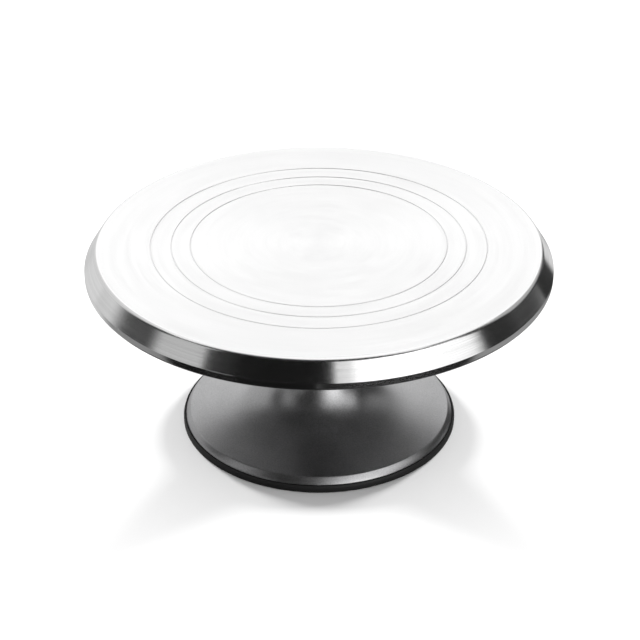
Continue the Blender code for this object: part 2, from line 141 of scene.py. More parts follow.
def to_mesh(name, shape):
    mesh = bpy.data.meshes.new(name)
    shape.to_mesh(mesh)
    shape.free()
    return mesh


def cylinder(radius, bottom, top, sides, place=Vector(), turn=Matrix.Identity(4)):
    """A closed cylinder along Z between two heights, turned and moved."""
    shape = bmesh.new()
    centre = Matrix.Translation((0, 0, (bottom + top) / 2))
    bmesh.ops.create_cone(shape, cap_ends=True, segments=sides, radius1=radius, radius2=radius,
                          depth=top - bottom, matrix=Matrix.Translation(place) @ turn @ centre)
    return shape


def joined(shapes):
    """One bmesh that holds several."""
    whole = bmesh.new()
    for shape in shapes:
        part = to_mesh("part", shape)
        whole.from_mesh(part)
        bpy.data.meshes.remove(part)
    return whole


def combined(mesh, *steps):
    """The mesh after Boolean steps, each (operation, bmesh)."""
    base = bpy.data.objects.new("base", mesh)
    bpy.context.scene.collection.objects.link(base)
    tools = []
    for operation, shape in steps:
        tool = bpy.data.objects.new("tool", to_mesh("tool", shape))
        bpy.context.scene.collection.objects.link(tool)
        modifier = base.modifiers.new(operation, "BOOLEAN")
        modifier.operation = operation
        modifier.solver = "EXACT"
        modifier.object = tool
        tools.append(tool)
    result = applied(base)
    for tool in tools:
        bpy.data.objects.remove(tool)
    bpy.data.objects.remove(base)
    return result


def applied(piece):
    """The piece's mesh with its modifiers in it."""
    bpy.context.view_layer.update()
    return bpy.data.meshes.new_from_object(piece.evaluated_get(bpy.context.evaluated_depsgraph_get()))


def shaded(mesh):
    """Smooth shading that keeps flat faces flat beside their fillets."""
    mesh.shade_smooth()
    mesh.set_sharp_from_angle(angle=SHARP_ANGLE)
    piece = bpy.data.objects.new("shading", mesh)
    bpy.context.scene.collection.objects.link(piece)
    weighted = piece.modifiers.new("Weighted", "WEIGHTED_NORMAL")
    weighted.keep_sharp = True
    weighted.weight = FLAT_FACE_WEIGHT
    result = applied(piece)
    bpy.data.objects.remove(piece)
    return result


def stand_in(node, mesh, *finishes, place=None):
    """A fine piece in a CAD node's place, on its body and in its material slot."""
    piece = bpy.data.objects.new(f"{node}_fine", mesh)
    bpy.context.scene.collection.objects.link(piece)
    if not mesh.materials:
        for finish in finishes:
            mesh.materials.append(finish)
    if place is not None:
        piece.location = place
    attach(piece, BODY_OF[node])
    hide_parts(node)
    return piece


def turned(node, profile, finish, steps, closed=False):
    """A stand-in made by turning a profile."""
    return stand_in(node, shaded(to_mesh(node, revolved(profile, steps, closed))), finish)


def paint_faces(mesh, index, test):
    """Gives the faces whose centre's radius and height pass the test another of the mesh's materials."""
    for face in mesh.polygons:
        if test(math.hypot(face.center.x, face.center.y), face.center.z):
            face.material_index = index


def threaded(shape, radius, bottom, top, pitch, depth, fade):
    """Cuts a helical V thread into the vertices that lie on a cylinder between two heights.

    The thread runs out over the length `fade` at both ends, and a negative depth raises it.
    """
    for vertex in shape.verts:
        x, y, z = vertex.co
        here = math.hypot(x, y)
        if abs(here - radius) > 1e-5 or not bottom < z < top:
            continue
        turn = (z / pitch - math.atan2(y, x) / math.tau) % 1
        cut = depth * (1 - abs(2 * turn - 1)) * min(1, (top - z) / fade, (z - bottom) / fade)
        vertex.co.x *= (here - cut) / here
        vertex.co.y *= (here - cut) / here


def heights(start, end, spacing):
    """Evenly spaced heights from start to end, both included."""
    count = max(1, round(abs(end - start) / spacing))
    return [start + (end - start) * k / count for k in range(count + 1)]


# ---------------------------------------------------------------- material helpers
WORLD_DIRECTION, OBJECT_POINT = 0, 3    # outputs of a texture coordinate node


class Nodes:
    """A short way to write a node tree."""

    def __init__(self, tree):
        self.tree = tree

    def add(self, kind, out=0, **settings):
        """Adds a node; inputs are given by name or as in_0, in_1, and other names are its properties."""
        node = self.tree.nodes.new(kind)
        for key, value in settings.items():
            if key.startswith("in_"):
                index = key[3:]
                socket = node.inputs[int(index)] if index.isdigit() else node.inputs[index.replace("_", " ")]
                if isinstance(value, bpy.types.NodeSocket):
                    self.tree.links.new(value, socket)
                else:
                    socket.default_value = value
            else:
                setattr(node, key, value)
        return node.outputs[out]

    def math(self, operation, a, b=0.0, c=0.0):
        return self.add("ShaderNodeMath", operation=operation, in_0=a, in_1=b, in_2=c)

    def mapped(self, value, low_in, high_in, low_out, high_out, smooth=False):
        """The value carried from one range to another, and held at its ends."""
        kind = "SMOOTHSTEP" if smooth else "LINEAR"
        return self.add("ShaderNodeMapRange", interpolation_type=kind, in_Value=value, in_1=low_in,
                        in_2=high_in, in_3=low_out, in_4=high_out)

    def separated(self, vector):
        """The x, y and z of a vector."""
        node = self.tree.nodes.new("ShaderNodeSeparateXYZ")
        self.tree.links.new(vector, node.inputs[0])
        return node.outputs

    def blend(self, factor, first, second):
        """Colour mix."""
        node = self.tree.nodes.new("ShaderNodeMix")
        node.data_type = "RGBA"
        for socket, value in ((node.inputs[0], factor), (node.inputs[6], first), (node.inputs[7], second)):
            if isinstance(value, bpy.types.NodeSocket):
                self.tree.links.new(value, socket)
            else:
                socket.default_value = value
        return node.outputs[2]


def new_material(name, colour, roughness, metallic):
    """A Principled material and its node helper and shader."""
    made = bpy.data.materials.new(name)
    made.use_nodes = True
    shader = made.node_tree.nodes["Principled BSDF"]
    shader.inputs["Base Color"].default_value = (*colour, 1)
    shader.inputs["Roughness"].default_value = roughness
    shader.inputs["Metallic"].default_value = metallic
    made.diffuse_color = (*colour, 1)
    return made, Nodes(made.node_tree), shader


def grey(value):
    """A neutral colour with alpha."""
    return (value, value, value, 1)


QUARTER_TURN = 0.25             # turns the stretched highlight across the tool marks
NEAR_AXIS = 1e-5                # keeps the tool marks' division clear of zero
COARSE_PITCH = 6                # the wide tool marks, as a multiple of the fine ones
COARSE_DRIFT = 1.7
FINE_SHARE, COARSE_SHARE = 0.7, 0.3     # of the two kinds of mark in the height
GRAIN_SHARE, PATCH_SHARE = 0.75, 0.25   # of fine grain and broad patches in the colour
PATCH_SIZE = 25                 # a patch, in grains
FLAKE_SIZE = 0.8                # a bright flake, in grains
FLAKE_REACH = 0.25              # how far a flake's glint spreads
FLAKE_COLOUR = (0.75, 0.75, 0.75, 1)


def turning_coordinates(nodes, pitch, drift):
    """Coordinates in which noise becomes fine rings about Z that drift slowly round the piece."""
    x, y, z = nodes.separated(nodes.add("ShaderNodeTexCoord", out=OBJECT_POINT))
    radius = nodes.math("SQRT", nodes.math("ADD", nodes.math("MULTIPLY", x, x), nodes.math("MULTIPLY", y, y)))
    safe = nodes.math("MAXIMUM", radius, NEAR_AXIS)
    along = nodes.math("DIVIDE", nodes.math("SUBTRACT", radius, z), pitch)
    around_x = nodes.math("MULTIPLY", nodes.math("DIVIDE", x, safe), drift)
    around_y = nodes.math("MULTIPLY", nodes.math("DIVIDE", y, safe), drift)
    return nodes.add("ShaderNodeCombineXYZ", in_0=along, in_1=around_x, in_2=around_y)


def turned_metal(name, colour, roughness, anisotropy, pitch, depth, tone, drift=1.5):
    """Metal with concentric tool marks: rings in height, in roughness and faintly in colour."""
    made, nodes, shader = new_material(name, colour, roughness, 1.0)
    rings = turning_coordinates(nodes, pitch, drift)
    coarse_rings = turning_coordinates(nodes, pitch * COARSE_PITCH, drift * COARSE_DRIFT)
    fine = nodes.add("ShaderNodeTexNoise", in_Vector=rings, in_Scale=1.0, in_Detail=3.0, in_Roughness=0.65)
    coarse = nodes.add("ShaderNodeTexNoise", in_Vector=coarse_rings, in_Scale=1.0, in_Detail=2.0)
    marks = nodes.math("ADD", nodes.math("MULTIPLY", fine, FINE_SHARE),
                       nodes.math("MULTIPLY", coarse, COARSE_SHARE))
    dark = tuple(channel * (1 - tone) for channel in colour)
    tint = nodes.blend(nodes.mapped(marks, 0.38, 0.62, 0, 1), (*dark, 1), (*colour, 1))
    nodes.tree.links.new(tint, shader.inputs["Base Color"])
    rough = nodes.mapped(marks, 0.35, 0.65, roughness * 1.15, roughness * 0.85)
    nodes.tree.links.new(rough, shader.inputs["Roughness"])
    bump = nodes.add("ShaderNodeBump", in_Strength=1.0, in_Distance=depth, in_Height=marks)
    nodes.tree.links.new(bump, shader.inputs["Normal"])
    shader.inputs["Anisotropic"].default_value = anisotropy
    shader.inputs["Anisotropic Rotation"].default_value = QUARTER_TURN
    tangent = nodes.add("ShaderNodeTangent", direction_type="RADIAL", axis="Z")
    nodes.tree.links.new(tangent, shader.inputs["Tangent"])
    return made


def grained(name, colour, roughness, metallic, grain, depth, tone, spread=0.08, sparkle=0.0):
    """A cast, painted or moulded surface: fine grain in height, colour and roughness."""
    made, nodes, shader = new_material(name, colour, roughness, metallic)
    point = nodes.add("ShaderNodeTexCoord", out=OBJECT_POINT)
    noise = nodes.add("ShaderNodeTexNoise", in_Vector=point, in_Scale=1 / grain, in_Detail=3.0,
                      in_Roughness=0.6)
    patches = nodes.add("ShaderNodeTexNoise", in_Vector=point, in_Scale=1 / (grain * PATCH_SIZE),
                        in_Detail=2.0)
    shade = nodes.math("ADD", nodes.math("MULTIPLY", noise, GRAIN_SHARE),
                       nodes.math("MULTIPLY", patches, PATCH_SHARE))
    dark = tuple(channel * (1 - tone) for channel in colour)
    light = tuple(min(1.0, channel * (1 + tone)) for channel in colour)
    tint = nodes.blend(nodes.mapped(shade, 0.32, 0.68, 0, 1), (*dark, 1), (*light, 1))
    if sparkle:
        flakes = nodes.add("ShaderNodeTexVoronoi", in_Vector=point, in_Scale=1 / (grain * FLAKE_SIZE))
        glint = nodes.mapped(flakes, 0.0, FLAKE_REACH, sparkle, 0.0)
        tint = nodes.blend(glint, tint, FLAKE_COLOUR)
    nodes.tree.links.new(tint, shader.inputs["Base Color"])
    rough = nodes.mapped(shade, 0.3, 0.7, roughness - spread / 2, roughness + spread / 2)
    nodes.tree.links.new(rough, shader.inputs["Roughness"])
    bump = nodes.add("ShaderNodeBump", in_Strength=1.0, in_Distance=depth, in_Height=noise)
    nodes.tree.links.new(bump, shader.inputs["Normal"])
    return made


# ---------------------------------------------------------------- finishes
def even(value):
    return (value, value, value)


face_aluminium = turned_metal("turned_face_aluminium", even(0.94), roughness=0.42, anisotropy=0.4,
                              pitch=0.0008, depth=0.0000015, tone=0.01)
rim_aluminium = turned_metal("turned_rim_aluminium", even(0.93), roughness=0.17, anisotropy=0.85,
                             pitch=0.0007, depth=0.000009, tone=0.10, drift=0.8)
lip_aluminium = turned_metal("turned_lip_aluminium", even(0.93), roughness=0.15, anisotropy=0.85,
                             pitch=0.0007, depth=0.000002, tone=0.03, drift=0.5)
cast_aluminium = grained("cast_aluminium", (0.72, 0.72, 0.73), roughness=0.48, metallic=1.0,
                         grain=0.0009, depth=0.00006, tone=0.12)
paint = grained("grey_metallic_coat", (0.42, 0.42, 0.425), roughness=0.33, metallic=1.0,
                grain=0.0008, depth=0.00005, tone=0.20, sparkle=0.09)
rubber = grained("black_moulded_rubber", even(0.007), roughness=0.6, metallic=0.0,
                 grain=0.0007, depth=0.00003, tone=0.2)
plastic = grained("black_moulded_plastic", (0.03, 0.03, 0.032), roughness=0.42, metallic=0.0,
                  grain=0.0005, depth=0.00002, tone=0.15)
turned_steel = turned_metal("turned_steel", (0.56, 0.56, 0.57), roughness=0.27, anisotropy=0.6,
                            pitch=0.0005, depth=0.000006, tone=0.12)
ground_steel = turned_metal("ground_bearing_steel", (0.66, 0.66, 0.67), roughness=0.13, anisotropy=0.4,
                            pitch=0.0003, depth=0.000002, tone=0.05)
ball_steel = grained("polished_ball_steel", (0.72, 0.72, 0.73), roughness=0.06, metallic=1.0,
                     grain=0.0012, depth=0.0000005, tone=0.03, spread=0.03)
pressed_brass = grained("pressed_brass", (0.80, 0.58, 0.27), roughness=0.30, metallic=1.0,
                        grain=0.0006, depth=0.00001, tone=0.10)
zinc = grained("zinc_plated_steel", (0.62, 0.63, 0.66), roughness=0.32, metallic=1.0,
               grain=0.0008, depth=0.000012, tone=0.12)
shield_steel = turned_metal("pressed_shield_steel", (0.60, 0.60, 0.61), roughness=0.30, anisotropy=0.3,
                            pitch=0.0006, depth=0.000004, tone=0.08)


# ---------------------------------------------------------------- plate
FACE_RADIUS = PLATE_RADIUS - 0.0076
FACE_FILLET = 0.0036
FACE_EDGE = FACE_RADIUS - 0.0019        # where the turned face gives way to the rim's finish
BEVEL_HEIGHT = 0.012
RIM_ROUND = 0.0023                      # lower outer edge
SKIRT_WIDTH = 0.0052                    # flat under the rim
SKIRT_HEIGHT = 0.0045
RING_RADII = (0.0835, 0.0959, 0.1094)   # centring rings cut in the top face
RING_WALLS = (0.0006, 0.0003)           # widths of a ring's inner and outer walls
RING_FILLETS = (0.0012, 0.0002, 0.0005)
RING_DEPTH = 0.0004
UNDERSIDE = PLATE_TOP - 0.0035
RIBS = 8
RIB_HALF_WIDTH, RIB_DROP = 0.0015, 0.005
RIB_BLEND, RIB_ROOT = 0.0012, 0.001     # fillet into the plate, and how far the rib reaches into it
HUB_RADIUS = 0.034
SPIGOT_RADIUS, SPIGOT_HEIGHT = 0.0120, 0.0033   # the spindle's end, which centres the plate
HUB_BOTTOM = high("spindle").z - SPIGOT_HEIGHT + GAP
STIFFENER_RADIUS, STIFFENER_DROP = 0.0935, 0.0045
STIFFENER_HALF_WIDTH, STIFFENER_DRAFT = 0.0012, 0.0004
SCREW_HOLE_RADIUS = 0.0026
SCREW_CIRCLE = 0.024
SCREWS = [(SCREW_CIRCLE * math.cos(math.pi / 4 + math.pi / 2 * k),
           SCREW_CIRCLE * math.sin(math.pi / 4 + math.pi / 2 * k)) for k in range(4)]


def screw_holes(bottom, top):
    """Cutters for the four screws that hold the plate to the spindle's flange."""
    return joined([cylinder(SCREW_HOLE_RADIUS, bottom, top, HOLE_STEPS, Vector((x, y, 0)))
                   for x, y in SCREWS])


def rib(angle):
    """One radial rib under the plate: rounded at its free edge and filleted into the plate."""
    half, drop, blend, root = RIB_HALF_WIDTH, RIB_DROP, RIB_BLEND, RIB_ROOT
    section = [(-half - blend, UNDERSIDE + root), (-half - blend, UNDERSIDE)]
    section += [(-half - blend + blend * math.sin(math.radians(a)),
                 UNDERSIDE - blend + blend * math.cos(math.radians(a))) for a in (30, 60, 90)]
    section += [(-half + 0.0002, UNDERSIDE - drop + 0.0007), (-half + 0.0007, UNDERSIDE - drop)]
    section += [(-y, z) for y, z in reversed(section)]
    inner, outer = HUB_RADIUS - 0.002, FACE_RADIUS - 0.0006
    shape = bmesh.new()
    face = shape.faces.new([shape.verts.new((inner, y, z)) for y, z in section])
    pulled = bmesh.ops.extrude_face_region(shape, geom=[face])
    moved = [item for item in pulled["geom"] if isinstance(item, bmesh.types.BMVert)]
    bmesh.ops.translate(shape, verts=moved, vec=(outer - inner, 0, 0))
    bmesh.ops.recalc_face_normals(shape, faces=shape.faces)
    shape.transform(Matrix.Rotation(angle, 4, "Z"))
    return shape


def turntable_plate():
    """Casting with a turned face and rim, a round stiffener, eight ribs and a hub under it."""
    corners = [(0, PLATE_TOP, 0)]
    for ring in RING_RADII:
        corners += [(ring - RING_WALLS[0], PLATE_TOP, RING_FILLETS[0]),
                    (ring, PLATE_TOP - RING_DEPTH, RING_FILLETS[1]),
                    (ring + RING_WALLS[1], PLATE_TOP, RING_FILLETS[2])]
    skirt = PLATE_RADIUS - SKIRT_WIDTH
    corners += [(FACE_RADIUS, PLATE_TOP, FACE_FILLET), (PLATE_RADIUS, PLATE_TOP - BEVEL_HEIGHT, 0.0003),
                (PLATE_RADIUS, RIM_BOTTOM, RIM_ROUND), (skirt, RIM_BOTTOM, 0.0006),
                (skirt - 0.0004, RIM_BOTTOM + SKIRT_HEIGHT, 0.002), (FACE_RADIUS - 0.0033, UNDERSIDE, 0.002)]
    stiffener_bottom = UNDERSIDE - STIFFENER_DROP
    half, root = STIFFENER_HALF_WIDTH, STIFFENER_HALF_WIDTH + STIFFENER_DRAFT
    corners += [(STIFFENER_RADIUS + root, UNDERSIDE, 0.0008),
                (STIFFENER_RADIUS + half, stiffener_bottom, 0.0005),
                (STIFFENER_RADIUS - half, stiffener_bottom, 0.0005),
                (STIFFENER_RADIUS - root, UNDERSIDE, 0.0008)]
    recess_radius = SPIGOT_RADIUS + GAP
    recess_top = high("spindle").z + GAP
    corners += [(HUB_RADIUS + 0.0005, UNDERSIDE, 0.003), (HUB_RADIUS - 0.0005, HUB_BOTTOM, 0.0006),
                (recess_radius, HUB_BOTTOM, 0.0003), (recess_radius, recess_top, 0), (0, recess_top, 0)]
    body = to_mesh("turntable_plate", revolved(filleted(corners), LARGE_STEPS))
    ribs = joined([rib(math.pi / RIBS + math.tau * k / RIBS) for k in range(RIBS)])
    hole_top = PLATE_TOP - 0.005
    mesh = combined(body, ("UNION", ribs), ("DIFFERENCE", screw_holes(HUB_BOTTOM - OVERLAP, hole_top)))
    for finish in (face_aluminium, rim_aluminium, cast_aluminium, lip_aluminium):
        mesh.materials.append(finish)
    rim, cast, lip = 1, 2, 3
    cast_radius = PLATE_RADIUS - 0.0050
    lip_top = PLATE_TOP - BEVEL_HEIGHT - 0.0003
    paint_faces(mesh, rim, lambda radius, height: radius > FACE_EDGE)
    paint_faces(mesh, cast, lambda radius, height: height < UNDERSIDE + 0.0002 and radius < cast_radius)
    paint_faces(mesh, lip, lambda radius, height: height < lip_top and radius > cast_radius)
    stand_in("turntable_plate", shaded(mesh))


# ---------------------------------------------------------------- spindle and fasteners
def spindle():
    """Turned shaft with a flange under the plate and a thread at its lower end."""
    top = high("spindle").z
    bottom = low("spindle").z
    flange_radius = high("spindle").x
    flange_top = top - SPIGOT_HEIGHT
    flange_bottom = flange_top - 0.005
    shoulder_radius = 0.013
    upper_seat = high("upper_bearing_inner_ring").z + GAP
    thread_top = low("lower_bearing_inner_ring").z + 0.0002
    shaft, thread, thread_depth = 0.0097, 0.0087, 0.0008
    start = [(0, top, 0), (SPIGOT_RADIUS, top, 0.0006), (SPIGOT_RADIUS, flange_top, 0),
             (flange_radius, flange_top, 0.0006),
             (flange_radius, flange_bottom, 0.0006), (shoulder_radius, flange_bottom, 0.0008),
             (shoulder_radius, upper_seat, 0.0003), (shaft, upper_seat, 0), (shaft, thread_top, 0.0003),
             (thread, thread_top, 0)]
    profile = filleted(start)
    profile += [(thread, z) for z in heights(thread_top - 0.0012, bottom + 0.001, THREAD_SPACING)]
    profile += [(thread - thread_depth, bottom), (0, bottom)]
    shape = revolved(profile, MEDIUM_STEPS)
    threaded(shape, thread, bottom + 0.0009, thread_top - 0.0011, THREAD_PITCH, thread_depth, THREAD_PITCH)
    holes = screw_holes(flange_bottom - OVERLAP, flange_top + OVERLAP)
    stand_in("spindle", shaded(combined(to_mesh("spindle", shape), ("DIFFERENCE", holes))), turned_steel)


def flange_screws():
    """Socket-head screws: rolled thread, rounded head and a hexagon socket."""
    head_low, head_high = low("flange_screw_1").z, low("flange_screw_1").z + 0.0032
    tip = high("flange_screw_1").z
    shank, head, socket_radius, socket_depth = 0.0023, 0.0043, 0.0023, 0.0018
    pitch, thread_depth = 0.0008, 0.00042
    profile = [(0, tip), (shank - 0.0005, tip)]
    profile += [(shank, z) for z in heights(tip - 0.0005, head_high + 0.0006, 0.0001)]
    profile += filleted([(shank, head_high + 0.0003, 0), (shank, head_high, 0.0002),
                         (head, head_high, 0.0002), (head, head_low, 0.0006), (0, head_low, 0)])[1:]
    shape = revolved(profile, SCREW_STEPS)
    threaded(shape, shank, head_high + 0.0010, tip - 0.0004, pitch, thread_depth, pitch)
    socket = cylinder(socket_radius, head_low - OVERLAP, head_low + socket_depth, 6)
    mesh = shaded(combined(to_mesh("flange_screw", shape), ("DIFFERENCE", socket)))
    for number, (x, y) in enumerate(SCREWS, 1):
        stand_in(f"flange_screw_{number}", mesh, zinc, place=(x, y, 0))


def lock_nut():
    """Hexagon nut with turned chamfers and a threaded bore."""
    bottom, top = low("lock_nut").z, high("lock_nut").z
    corner = high("lock_nut").y
    flat = corner * math.cos(math.pi / 6)
    lens = filleted([(0, top, 0), (flat - 0.0004, top, 0.0003), (corner + 0.0006, top - 0.0011, 0),
                     (corner + 0.0006, bottom + 0.0011, 0), (flat - 0.0004, bottom, 0.0003), (0, bottom, 0)])
    bore = 0.0090
    wall = [(0, top + OVERLAP), (bore, top + OVERLAP)]
    wall += [(bore, z) for z in heights(top - 0.0006, bottom + 0.0006, THREAD_SPACING)]
    wall += [(bore, bottom - OVERLAP), (0, bottom - OVERLAP)]
    cutter = revolved(wall, NUT_STEPS)
    threaded(cutter, bore, bottom + 0.0004, top - 0.0004, THREAD_PITCH, -0.0006, 0.001)
    hexagon = to_mesh("lock_nut", cylinder(corner, bottom, top, 6))
    mesh = combined(hexagon, ("INTERSECT", revolved(lens, NUT_STEPS)), ("DIFFERENCE", cutter))
    stand_in("lock_nut", shaded(mesh), zinc)


def plain_rings():
    """Turned rings that stay simple: spacer and lock washer."""
    for node, finish, inner, fillet in (("bearing_spacer", turned_steel, 0.0100, 0.0004),
                                        ("lock_washer", zinc, 0.0090, 0.0003)):
        bottom, top, outer = low(node).z, high(node).z, high(node).x
        corners = [(inner, top, fillet), (outer, top, fillet),
                   (outer, bottom, fillet), (inner, bottom, fillet)]
        turned(node, filleted(corners, closed=True), finish, MEDIUM_STEPS, closed=True)


# ---------------------------------------------------------------- bearings
PITCH_RADIUS = 0.0155           # of the circle of balls
BALL_RADIUS = 0.003175
BALLS = 9
RACE_STEPS = 20
CAGE_STEPS = 144
POCKET_STEPS = 40


def bearing(prefix):
    """One deep-groove ball bearing: rings, shields, cage and balls."""
    outer_node, inner_node = f"{prefix}_bearing_outer_ring", f"{prefix}_bearing_inner_ring"
    bottom, top = low(outer_node).z, high(outer_node).z
    centre = (bottom + top) / 2
    outer = high(outer_node).x
    groove = BALL_RADIUS + GAP
    land, seat, seat_half = 0.0179, 0.0186, 0.0046
    reach = math.degrees(math.acos((land - PITCH_RADIUS) / groove))
    shell = [(seat, top, 0.0002), (outer, top, 0.0006), (outer, bottom, 0.0006), (seat, bottom, 0.0002),
             (seat, centre - seat_half, 0), (land, centre - seat_half, 0)]
    profile = filleted(shell, closed=True)
    profile += arc((PITCH_RADIUS, centre), groove, -reach, reach, RACE_STEPS)
    profile += [(land, centre + seat_half), (seat, centre + seat_half)]
    turned(outer_node, profile, ground_steel, MEDIUM_STEPS, closed=True)

    land, bore = 0.0132, 0.0100
    reach = math.degrees(math.acos((PITCH_RADIUS - land) / groove))
    profile = filleted([(0, top, 0), (bore, top, 0.0005), (land, top, 0.0002), (land, 0, 0)])[1:-1]
    profile += arc((PITCH_RADIUS, centre), groove, 180 - reach, 180 + reach, RACE_STEPS)
    profile += filleted([(land, top, 0), (land, bottom, 0.0002), (bore, bottom, 0.0005),
                         (bore, top, 0)])[1:-1]
    turned(inner_node, profile, ground_steel, MEDIUM_STEPS, closed=True)

    for side, direction in (("top", 1), ("bottom", -1)):
        shield(f"{prefix}_bearing_{side}_shield", direction)
    cage_and_balls(prefix, centre)


def shield(node, direction):
    """Pressed steel shield: a rolled rim and a shallow dished web, 0.5 mm over all."""
    bottom, top, outer = low(node).z, high(node).z, high(node).x
    inner = 0.0136
    thin = (top - bottom) * 0.5
    outward, inward = (top, bottom) if direction > 0 else (bottom, top)
    step = thin if direction > 0 else -thin
    corners = [(inner, outward - step), (inner + 0.0011, outward - step), (inner + 0.0016, outward),
               (outer - 0.0009, outward), (outer - 0.0006, outward - step), (outer, outward - step),
               (outer, inward), (outer - 0.0009, inward), (outer - 0.0012, outward - step * 1.05),
               (inner + 0.0019, outward - step * 1.05), (inner + 0.0014, inward), (inner, inward)]
    if direction < 0:
        corners.reverse()
    turned(node, corners, shield_steel, MEDIUM_STEPS, closed=True)


def cage_and_balls(prefix, centre):
    """Brass cage with a drilled pocket for each ball."""
    inner, outer, half = 0.0143, 0.0167, high(f"{prefix}_bearing_cage").z - centre
    corners = [(inner, centre + half, 0.0003), (outer, centre + half, 0.0003),
               (outer, centre - half, 0.0003), (inner, centre - half, 0.0003)]
    ring = to_mesh("cage", revolved(filleted(corners, closed=True), CAGE_STEPS, closed=True))
    pockets = []
    for k in range(BALLS):
        turn = Matrix.Rotation(math.tau * k / BALLS, 4, "Z") @ Matrix.Rotation(math.pi / 2, 4, "Y")
        pockets.append(cylinder(BALL_RADIUS + GAP, inner - 0.0013, outer + 0.0013, POCKET_STEPS,
                                Vector((0, 0, centre)), turn))
    mesh = combined(ring, ("DIFFERENCE", joined(pockets)))
    stand_in(f"{prefix}_bearing_cage", shaded(mesh), pressed_brass)
    ball = bmesh.new()
    bmesh.ops.create_uvsphere(ball, u_segments=40, v_segments=24, radius=BALL_RADIUS)
    mesh = to_mesh("ball", ball)
    mesh.shade_smooth()
    for k in range(BALLS):
        angle = math.tau * k / BALLS
        stand_in(f"{prefix}_bearing_ball_{k + 1}", mesh, ball_steel,
                 place=(PITCH_RADIUS * math.cos(angle), PITCH_RADIUS * math.sin(angle), centre))


def wave_washer():
    """Sprung ring with three waves."""
    bottom, top = low("wave_washer").z, high("wave_washer").z
    centre = (bottom + top) / 2
    lift, half, waves = 0.0004, 0.0003, 3
    inner, outer, fillet = 0.0189, 0.0209, 0.0001
    corners = [(inner, centre + half, fillet), (outer, centre + half, fillet),
               (outer, centre - half, fillet), (inner, centre - half, fillet)]
    shape = revolved(filleted(corners, closed=True), MEDIUM_STEPS, closed=True)
    for vertex in shape.verts:
        vertex.co.z += lift * math.sin(waves * math.atan2(vertex.co.y, vertex.co.x))
    stand_in("wave_washer", shaded(to_mesh("wave_washer", shape)), turned_steel)


# ---------------------------------------------------------------- pedestal and rubber
FLARE_AXIS = 0.0155             # radius of the hyperbola's upright asymptote
FLARE_SCALE = 0.000557
FLARE_END_RADIUS = 0.0871
FLARE_END_HEIGHT = 0.0100
FLARE_STEPS = 72
COLUMN_RADIUS = 0.0250
COLUMN_BORE = 0.0213
COLUMN_BLEND = 0.040            # fillet between the column and the flare
TURN_RADIUS = 0.0012            # small round from the flare into the sloping band
TURN_START, TURN_END = 80, 42
BAND_RADIUS = 0.0172            # slightly crowned band above the foot ring
BAND_END = 25
RIM_WIDTH = 0.0042
HOLLOW_RADIUS = 0.0835
HOLLOW_REACH = 0.0400
HOLLOW_STEPS = 24
WALL = 0.0035


def flare_height(radius):
    """Height of the pedestal's outer surface at a radius: a hyperbola that climbs inward from the rim."""
    end = FLARE_SCALE / (FLARE_END_RADIUS - FLARE_AXIS)
    return FLARE_END_HEIGHT + FLARE_SCALE / (radius - FLARE_AXIS) - end


def inside_flare(radius):
    """The point one wall thickness inside the outer surface."""
    slope = -FLARE_SCALE / (radius - FLARE_AXIS) ** 2
    length = math.hypot(1, slope)
    return (radius + WALL * slope / length, flare_height(radius) - WALL / length)


def pedestal():
    """Hollow casting: column, flare, rolled rim and the boss and seats of the bearings inside."""
    bore, step = COLUMN_BORE, 0.0185
    start = COLUMN_RADIUS + 0.0008
    radii = [start + (FLARE_END_RADIUS - start) * (k / FLARE_STEPS) ** 2.0 for k in range(FLARE_STEPS + 1)]
    flare = [(radius, flare_height(radius)) for radius in radii]
    top = filleted([(bore, COLUMN_TOP - 0.003, 0), (bore, COLUMN_TOP, 0.0004),
                    (COLUMN_RADIUS, COLUMN_TOP, 0.0014),
                    (COLUMN_RADIUS, flare_height(COLUMN_RADIUS), COLUMN_BLEND), flare[0] + (0,)])[1:-1]
    turn = (FLARE_END_RADIUS, FLARE_END_HEIGHT - TURN_RADIUS)
    inward = TURN_RADIUS - BAND_RADIUS
    band = (turn[0] + inward * math.cos(math.radians(TURN_END)),
            turn[1] + inward * math.sin(math.radians(TURN_END)))
    rim = arc(turn, TURN_RADIUS, TURN_START, TURN_END, 6)
    rim += arc(band, BAND_RADIUS, TURN_END, BAND_END, 12)[1:]
    rim += filleted([rim[-1] + (0,), (PEDESTAL_RADIUS, PEDESTAL_BOTTOM, 0.0005),
                     (PEDESTAL_RADIUS - RIM_WIDTH, PEDESTAL_BOTTOM, 0.0005),
                     inside_flare(HOLLOW_RADIUS) + (0,)])[1:-1]
    hollow = [inside_flare(HOLLOW_RADIUS - HOLLOW_REACH * k / HOLLOW_STEPS) for k in range(HOLLOW_STEPS + 1)]
    boss_bottom, boss, roof = 0.012, 0.0285, 0.0175
    inner = filleted([hollow[-1] + (0,), (boss + 0.0042, roof, 0.003), (boss + 0.0008, roof - 0.0010, 0.002),
                      (boss, boss_bottom, 0.0006), (bore, boss_bottom, 0.0004),
                      (bore, boss_bottom + 0.01, 0)])
    lower_step = high("lower_bearing_outer_ring").z + 0.0019
    upper_step = low("upper_bearing_outer_ring").z - GAP
    seats = [(bore, lower_step), (step, lower_step), (step, upper_step), (bore, upper_step)]
    profile = top + flare + rim + hollow + inner[1:-1] + seats
    mesh = to_mesh("pedestal", revolved(profile, LARGE_STEPS, closed=True))
    for finish in (paint, turned_steel):
        mesh.materials.append(finish)
    machined = 1
    paint_faces(mesh, machined, lambda radius, height: radius < bore + 0.0002)
    stand_in("pedestal", shaded(mesh))


